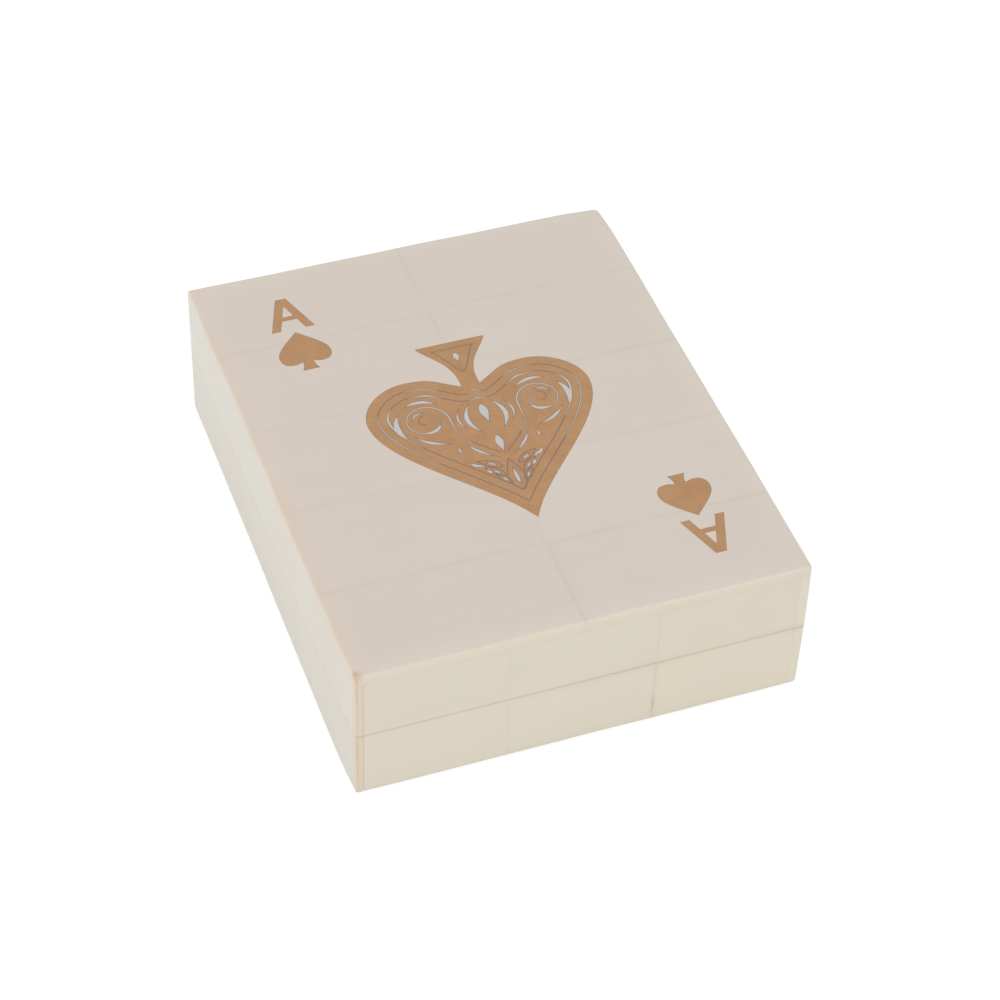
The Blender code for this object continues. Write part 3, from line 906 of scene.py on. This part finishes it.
bud_steps = 30
t = np.linspace(0, 1, bud_steps)
for x0, y0, length, widest in ((5.2, 18.2, 2.6, 1.0), (8.0, 21.4, 3.0, 1.1)):
    path = np.stack([x0 + 0.66 * length * t, y0 + 0.75 * length * t], axis=1)
    stroke(path, swelling(bud_steps, widest, 0.5))
stroke(np.stack([2.2 * np.sin(np.pi * t**0.75), 10.4 + 12.0 * t], axis=1))
crescents = ((2.6, 2.6, 33.0, 12.4, 1.5), (6.0, 1.5, 35.4, 8.6, 0.8))
for x0, swell, y0, length, widest in crescents:
    path = np.stack([x0 + swell * np.sin(np.pi * t), y0 + length * t], axis=1)
    stroke(path, swelling(bud_steps, widest, 0.5))
drops = (
    (12.6, 6.8, 1.2, 0.42),
    (24.6, 7.4, 2.3, 0.60),
    (35.4, 9.0, 2.6, 0.66),
    (60.6, 4.6, 1.9, 0.66),
)
for start, length, widest, peak in drops:
    path = np.stack([0 * t, start + length * t], axis=1)
    keep_stroke(path, swelling(bud_steps, widest, peak))
stroke(bezier([[(0.0, 57.2), (1.9, 58.6), (2.6, 62.4), (5.7, 66.9)]]))
keep_stroke(np.stack([12 * t - 6, 0 * t + 66.9], axis=1), line_width)


def make_brass():
    """Matte brass: fine-grained from the saw and the sandpaper, with a thin brown tarnish."""
    brass = Finish(bpy.data.materials.new("inlay_brass"))
    place = brass.coordinates()
    grain = brass.noise(place, 2600.0, 3.0, 0.75)
    scratch = brass.noise(brass.stretched(place, (420.0, 3200.0, 900.0)), 1.0, 2.0, 0.6)
    tarnish = brass.noise(place, 160.0, 4.0, 0.65)
    shade = 1.0 + (grain - 0.5) * 0.62 + (scratch - 0.5) * 0.18 + (tarnish - 0.5) * 0.10
    clean, dulled = seen(187.5, 144.5, 101.5), seen(179.5, 134.5, 92.5)
    colour = brass.mix(brass.rise(tarnish, 0.35, 0.7), clean, dulled)
    return brass.surface(
        Base_Color=brass.tinted(colour, shade),
        Metallic=0.25,
        Roughness=0.54 + (grain - 0.5) * 0.3,
        Normal=brass.bump(grain * 0.5 + scratch * 0.5, 0.00001),
    )


def make_filler(name, colour, roughness):
    """Filler in and round the brass, the dark one painted shade: one colour, slightly mottled and
    dull.
    """
    filler = Finish(bpy.data.materials.new(name))
    mottle = filler.noise(filler.coordinates(), 420.0, 3.0, 0.6)
    shade = 1.0 + (mottle - 0.5) * 0.16
    return filler.surface(Base_Color=filler.tinted(colour, shade), Roughness=roughness)


brass = make_brass()
resin = make_filler("scroll_resin", seen(199, 200, 198), 0.5)
# Painted shade: dark filler in the narrow scroll lines, along the sides of the wide ones and in a
# fine line round each brass piece, where the gaps would be in shade.
dark_glue = make_filler("inlay_glue", seen(138, 118, 106), 0.6)
inlay_low, inlay_high = spade_low[2], spade_high[2]
spade_place = np.array([(spade_low[0] + spade_high[0]) / 2, spade_low[1]])
pockets = []


def grown_by(outlines, width):
    """Outlines in millimetres, moved outwards along their normals by a width in metres."""
    return [outline - normals(outline) * width / millimetre for outline in outlines]


def add_pocket(outlines, place):
    """A hidden cutter, the outlines moved out along their normals and made a tall slab."""
    grown = grown_by(outlines, pocket_gap)
    corners, triangles, _ = flat_shape(grown, len(grown))
    points, faces = slab(place + corners * millimetre, triangles, inlay_low, inlay_high + millimetre)
    mesh = bpy.data.meshes.new("pocket")
    mesh.from_pydata(points.tolist(), [], faces)
    pocket = bpy.data.objects.new("pocket", mesh)
    bpy.context.collection.objects.link(pocket)
    pockets.append(pocket)


def add_inlay(name, outlines, place, node):
    """A flat brass piece let into the lid, with a line of dark filler round it in its pocket that
    paints the shade of the gap. The strokes pierce the large spade, and hold the same dark filler,
    painted shade of narrow engraved lines, with pale resin where they are wide."""
    pierced_by = [*strokes, *cores] if node == "spade_inlay" else []
    corners, triangles, owners = flat_shape([*outlines, *pierced_by], len(outlines))
    flat = place + corners * millimetre
    points, faces = slab(flat, triangles[owners < len(outlines)], inlay_low, inlay_high)
    add_piece(name, points, faces, brass, "lid", [node])
    if pierced_by:
        in_core = owners >= len(outlines) + len(strokes)
        points, faces = slab(flat, triangles[in_core], inlay_low, inlay_high - resin_recess)
        add_piece("resin_spade_scrolls", points, faces, resin, "lid", [])
        in_stroke = (owners >= len(outlines)) & ~in_core
        points, faces = slab(flat, triangles[in_stroke], inlay_low, inlay_high - resin_recess)
        add_piece("glue_spade_scrolls", points, faces, dark_glue, "lid", [])
    grown = grown_by(outlines, glue_line)
    corners, triangles, owners = flat_shape([*grown, *outlines], len(grown))
    around = triangles[owners < len(grown)]
    points, faces = slab(place + corners * millimetre, around, inlay_low, inlay_high - glue_recess)
    add_piece(f"glue_{name}", points, faces, dark_glue, "lid", [])
    add_pocket(outlines, place)


add_inlay("brass_spade", [spade], spade_place, "spade_inlay")

pip_low, pip_high = (np.array(corner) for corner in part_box("pip_inlay_front_right"))
pip = spade_outline(pip_curves, *(pip_high - pip_low)[:2] / millimetre)
pip_height = pip[:, 1].max()
letter_low, letter_high = (np.array(corner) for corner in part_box("letter_inlay_front_right"))
letter_width, letter_height = (letter_high - letter_low)[:2] / millimetre
letter_stroke = 2.3
letter_head = 2.7
bar_low = 4.0
bar_high = 5.4


def letter_outlines():
    """Three overlapping bars of a letter A that stands on the X axis: two leaning, one across."""
    lean = (letter_width - letter_head) / 2 / letter_height
    foot = letter_width / 2
    inner = (foot - letter_stroke) / lean
    leg = np.array([(foot, 0), (letter_head / 2, letter_height), (0, letter_height), (0, inner)])
    leg = np.concatenate([leg, [(foot - letter_stroke, 0)]])
    reach = [foot - 0.5 * letter_stroke - lean * level for level in (bar_low, bar_high)]
    bar = [(-reach[0], bar_low), (reach[0], bar_low), (reach[1], bar_high), (-reach[1], bar_high)]
    return [leg, mirrored(leg)[::-1], np.array(bar)]


marks = (
    ("front_right", "pip", [pip], 1),
    ("back_left", "pip", [pip], -1),
    ("front_right", "letter", letter_outlines(), -1),
    ("back_left", "letter", letter_outlines(), 1),
)
for corner, kind, outlines, turn in marks:
    node = f"{kind}_inlay_{corner}"
    low, high = (np.array(end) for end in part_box(node))
    place = np.array([(low[0] + high[0]) / 2, low[1] if turn > 0 else high[1]])
    add_inlay(f"brass_{kind}_{corner}", [turn * outline for outline in outlines], place, node)


def cut_pockets(piece):
    """Cuts the pockets that a piece reaches into out of it, and drops what was cut."""
    points = np.array([corner.co for corner in piece.data.vertices])
    low, high = points.min(axis=0), points.max(axis=0)
    for pocket in pockets:
        reach = np.array([corner.co for corner in pocket.data.vertices])
        if (reach.min(axis=0) < high).all() and (reach.max(axis=0) > low).all():
            cut = piece.modifiers.new("pocket", "BOOLEAN")
            cut.operation = "DIFFERENCE"
            cut.solver = "EXACT"
            cut.object = pocket
    graph = bpy.context.evaluated_depsgraph_get()
    sharp_mesh = bpy.data.meshes.new_from_object(piece.evaluated_get(graph), depsgraph=graph)
    piece.modifiers.clear()
    piece.data = sharp_mesh
    piece.data.set_sharp_from_angle(angle=math.radians(sharp_angle))


for piece, low, high in top_pieces:
    cut_pockets(piece)
    finish_tile(piece, "top", np.array(low), np.array(high))
top_glue = add_glue("glue_top_joints", top_joint_boxes, "lid", [])
cut_pockets(top_glue)
write_field(top_glue, "tone", tones(np.array([corner.co for corner in top_glue.data.vertices])))
for pocket in pockets:
    bpy.data.objects.remove(pocket)


# Wooden core. The lid and the base are each a board with four walls of plain pale wood, butted and
# glued. Only their sawn rims and the inside of the lid can be seen.
def make_wood(name, pale, dark, grain_axis, roughness, ring_width, coat=0.0):
    """Plain sawn or varnished wood with its grain along one axis.

    Growth rings are a wave across the grain, bent by noise that is stretched along it, and strong
    in some places and faint in others. Pores are fine dark dashes, fibres finer pale and dark
    lines, and a coarse noise varies the whole board.
    """
    wood = Finish(bpy.data.materials.new(name))
    squeeze = tuple(0.05 if axis == grain_axis else 1.0 for axis in range(3))
    place = wood.stretched(wood.coordinates(), squeeze)
    drift = wood.noise(place, 95.0, 3.0, 0.55)
    x, y, z = wood.parts(place)
    across = (x + y * 0.7 + z * 0.55) * (1 / ring_width) + drift * 7.0
    rings = wood.rise(wood.maths("PINGPONG", across, 0.5), 0.05, 0.5)
    strength = wood.rise(wood.noise(place, 150.0, 2.0), 0.35, 0.65, 0.15, 0.75)
    fibre = wood.noise(wood.stretched(place, (1900.0, 1900.0, 1900.0)), 1.0, 3.0, 0.65)
    pores = wood.noise(wood.stretched(place, (4200.0, 4200.0, 4200.0)), 1.0, 2.0, 0.6)
    pore_mask = wood.rise(pores, 0.60, 0.72)
    cloud = wood.noise(wood.coordinates(), 35.0, 3.0, 0.55)
    colour = wood.mix(rings * strength + (fibre - 0.5) * 0.7 + 0.10, pale, dark)
    colour = wood.tinted(colour, 1.0 + (cloud - 0.5) * 0.22 - pore_mask * 0.20)
    return wood.surface(
        Base_Color=colour,
        Roughness=roughness + (pores - 0.5) * 0.2,
        Coat_Weight=coat,
        Coat_Roughness=0.2,
        Normal=wood.bump(fibre * 0.3 + rings * 0.1 - pore_mask * 0.8, 0.00003),
    )


core_pale, core_dark = seen(214, 184, 146), seen(184, 146, 104)
core_along = [make_wood(f"core_wood_{i}", core_pale, core_dark, i, 0.62, 0.0034) for i in (0, 1)]
core_axes = {"board": 1, "wall_left": 1, "wall_right": 1, "wall_front": 0, "wall_back": 0}
for half in ("lid", "base"):
    for part, grain_axis in core_axes.items():
        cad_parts[f"{half}_{part}"].material_slots[0].material = core_along[grain_axis]


# Liner. Thin strips of stained hardwood stand round the inside of the base. They rise above its
# rim, where they locate the lid, and their top edges are rounded. A divider halves the space.
liner_pale, liner_dark = seen(128, 84, 56), seen(84, 50, 32)
liner_along = [
    make_wood(f"liner_wood_{i}", liner_pale, liner_dark, i, 0.36, 0.0026, coat=0.3) for i in (0, 1)
]
for side, grain_axis in {"left": 1, "right": 1, "front": 0, "back": 0}.items():
    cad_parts[f"liner_{side}"].material_slots[0].material = liner_along[grain_axis]

divider_low, divider_high = (np.array(corner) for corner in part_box("divider"))
notch_width = 0.0200
notch_depth = 0.0085
divider_ease = 0.0005
notch_steps = 49
edge_steps = 30
end_steps = 8


def divider_profile(ease):
    """Outline of the divider seen from the front, drawn in by the ease at the top edge only.

    The top edge runs level to a half ellipse, the finger notch, whose axes grow with the ease.
    """
    middle = (divider_low[0] + divider_high[0]) / 2
    angle = np.linspace(0, np.pi, notch_steps)
    across = notch_width / 2 + ease
    down = notch_depth + ease
    notch = np.stack([middle + across * np.cos(angle), -down * np.sin(angle)], axis=1)
    top = divider_high[2] - ease
    notch[:, 1] = np.minimum(divider_high[2] + notch[:, 1], top)
    right = np.linspace(divider_high[0], middle + across, edge_steps, endpoint=False)
    left = np.linspace(middle - across, divider_low[0], edge_steps + 1)[1:]
    rising = np.linspace(divider_low[2], top, end_steps, endpoint=False)
    sides = [
        np.stack([np.full(end_steps, divider_high[0]), rising], axis=1),
        np.stack([right, np.full(edge_steps, top)], axis=1),
        notch,
        np.stack([left, np.full(edge_steps, top)], axis=1),
        np.stack([np.full(end_steps, divider_low[0]), rising[::-1]], axis=1),
    ]
    return np.concatenate(sides)


def closed_tube(rings):
    """Points and faces of a loop carried through a row of rings, closed at both ends. Looking
    along the row, the loop runs anticlockwise."""
    count, around = len(rings), len(rings[0])
    index = np.arange(count * around).reshape(count, around)
    after = np.roll(index, -1, axis=1)
    walls = np.stack([index[:-1], index[1:], after[1:], after[:-1]], axis=2).reshape(-1, 4)
    faces = [index[0].tolist(), index[-1, ::-1].tolist(), *walls.tolist()]
    return np.concatenate(rings), faces


quarter = np.linspace(0, np.pi / 2, 6)
eases = divider_ease * (1 - np.sin(quarter))
insets = divider_ease * (1 - np.cos(quarter))
depths = np.concatenate([divider_low[1] + insets, (divider_high[1] - insets)[::-1]])
rings = [
    np.insert(divider_profile(ease), 1, depth, axis=1)
    for ease, depth in zip(np.concatenate([eases, eases[::-1]]), depths)
]
divider_points, divider_faces = closed_tube(rings)
add_piece(
    "wood_divider", divider_points, divider_faces, liner_along[0], "base", ["divider"]
)


# Felt. Sheets of short wool felt, about 1 mm thick, are glued on the floor of each well, inside the
# lid and under the base. Their cut edges are soft and not quite straight.
felt_ease = 0.00042
felt_ripple = 0.00006
felt_edge_wander = 0.00010
felt_edge_reach = 0.0040
felt_edge_lines = 0.001 * np.array([0, 0.1, 0.22, 0.42, 0.8, 1.5])
felt_level_shares = np.array([0.0, 0.1, 0.22, 0.4, 0.6, 0.78, 0.9, 1.0])


def felt_surface(low, high):
    """A ruled box with all its edges rounded. Two crossing sines of slightly different lengths
    ripple its faces inwards, and others draw its outline in."""
    rulings = [
        ruled(a, b, np.concatenate([a + felt_edge_lines, b - felt_edge_lines]))
        for a, b in zip(low[:2], high[:2])
    ]
    rulings.append(low[2] + (high[2] - low[2]) * felt_level_shares)
    points, quads = box_grid(rulings)
    from_low, from_high = points - low, high - points
    inward = np.minimum(from_low, from_high)
    fade = np.clip(1 - inward / felt_edge_reach, 0, 1)
    inward = rounded(inward, np.full(len(points), felt_ease))
    x, y, _ = points.T
    ripple = 0.5 + 0.25 * np.sin(310 * x + 90 * y) + 0.25 * np.sin(270 * y - 130 * x + 1)
    wander = [0.5 + 0.5 * np.sin(240 * y + 2), 0.5 + 0.5 * np.sin(260 * x + 1)]
    inward[:, 0] += felt_edge_wander * wander[0] * fade[:, 0]
    inward[:, 1] += felt_edge_wander * wander[1] * fade[:, 1]
    inward[:, 2] += felt_ripple * ripple * (from_high[:, 2] < from_low[:, 2])
    return np.where(from_low < from_high, low + inward, high - inward), quads


def make_felt():
    """Charcoal wool felt: matted fibres in all directions, with paler hairs and a soft nap."""
    felt = Finish(bpy.data.materials.new("felt"))
    place = felt.coordinates()
    x, y, z = felt.parts(place)
    mats = []
    for turn in (0.35, 1.4, 2.5):
        along = x * math.cos(turn) + y * math.sin(turn)
        across = y * math.cos(turn) - x * math.sin(turn)
        vector = felt.node("CombineXYZ", {}, {0: along * 900, 1: across * 5200, 2: z * 900})
        mats.append(felt.noise(vector, 1.0, 1.0, 0.5, 0.6))
    hairs = felt.maths("MAXIMUM", felt.maths("MAXIMUM", mats[0], mats[1]), mats[2])
    pile = felt.noise(place, 2600.0, 3.0, 0.7)
    cloud = felt.noise(place, 70.0, 3.0, 0.6)
    pale_hairs = felt.rise(hairs, 0.62, 0.80)
    colour = felt.mix(pale_hairs * 0.6, seen(44, 44, 47), seen(92, 91, 94))
    shade = 1.0 + (pile - 0.5) * 0.7 + (cloud - 0.5) * 0.35
    return felt.surface(
        Base_Color=felt.tinted(colour, shade),
        Roughness=0.95,
        Specular_IOR_Level=0.15,
        Sheen_Weight=0.25,
        Sheen_Roughness=0.5,
        Normal=felt.bump(hairs * 0.6 + pile * 0.6, 0.00022),
    )


felt = make_felt()
sheets = {
    "deck_felt_front": ("base", "base_board"),
    "deck_felt_back": ("base", "base_board"),
    "lid_felt": ("lid", "lid_board"),
    "underside_felt": ("base", "base_board"),
}
for node, (body, board) in sheets.items():
    low, high = (np.array(corner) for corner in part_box(node))
    points, quads = felt_surface(low, high)
    piece = add_piece(f"sheet_{node}", points, quads, felt, body, [node], sharp=80)


# Stage: a pale floor, three broad soft lamps and a white surround. The camera sees floor and
# surround as white, apart from the soft shadow that the floor keeps.
floor_size = 3.0
floor_depth = 0.00005
glow_strength = 1.12
glow_share = 0.72
floor_mesh = bpy.data.meshes.new("floor")
reach = floor_size / 2
floor_corners = [(-reach, -reach), (reach, -reach), (reach, reach), (-reach, reach)]
floor_mesh.from_pydata([(x, y, -floor_depth) for x, y in floor_corners], [], [(0, 1, 2, 3)])
floor = bpy.data.objects.new("floor", floor_mesh)
bpy.context.collection.objects.link(floor)
floor_finish = Finish(bpy.data.materials.new("floor"))
floor_finish.surface(Base_Color=seen(249, 248, 247), Roughness=0.9, Specular_IOR_Level=0.1)
seen_by_camera = floor_finish.node("LightPath", {}, {}, output="Is Camera Ray")
glow = floor_finish.node("Emission", {}, {"Color": (1, 1, 1, 1), "Strength": glow_strength})
lit = Field(floor_finish, floor_finish.tree.nodes["Principled BSDF"].outputs[0])
shares = {0: seen_by_camera * glow_share, 1: lit, 2: glow}
floor_surface = floor_finish.node("MixShader", {}, shares)
output = floor_finish.tree.nodes["Material Output"]
floor_finish.tree.links.new(floor_surface.socket, output.inputs["Surface"])
floor_mesh.materials.append(floor_finish.owner)

lamps = (
    ("lamp_left", (-1.25, -0.10, 0.45), 0.9, 4.2),
    ("lamp_front", (0.25, -1.30, 0.40), 0.9, 3.7),
    ("lamp_top", (0.20, 0.25, 1.40), 1.1, 0.6),
)
for name, place, size, power in lamps:
    lamp_data = bpy.data.lights.new(name, "AREA")
    lamp_data.shape = "DISK"
    lamp_data.size = size
    lamp_data.energy = power
    lamp = bpy.data.objects.new(name, lamp_data)
    lamp.location = place
    toward = np.array(place) / np.linalg.norm(place)
    lamp.rotation_euler = (math.acos(toward[2]), 0, math.atan2(toward[1], toward[0]) + math.pi / 2)
    bpy.context.collection.objects.link(lamp)

ambient = 0.77
world = bpy.data.worlds.new("studio")
bpy.context.scene.world = world
surround = Finish(world)
rays = ("Is Camera Ray", "Is Glossy Ray", "Is Transmission Ray")
seen_directly = sum(surround.node("LightPath", {}, {}, output=ray) for ray in rays)
brightness = surround.maths("MINIMUM", ambient + seen_directly, 1.0)
background = surround.tree.nodes["Background"]
surround.fill(background.inputs["Strength"], brightness)
surround.fill(background.inputs["Color"], (1, 1, 1, 1))

bpy.context.scene.view_settings.view_transform = "Standard"
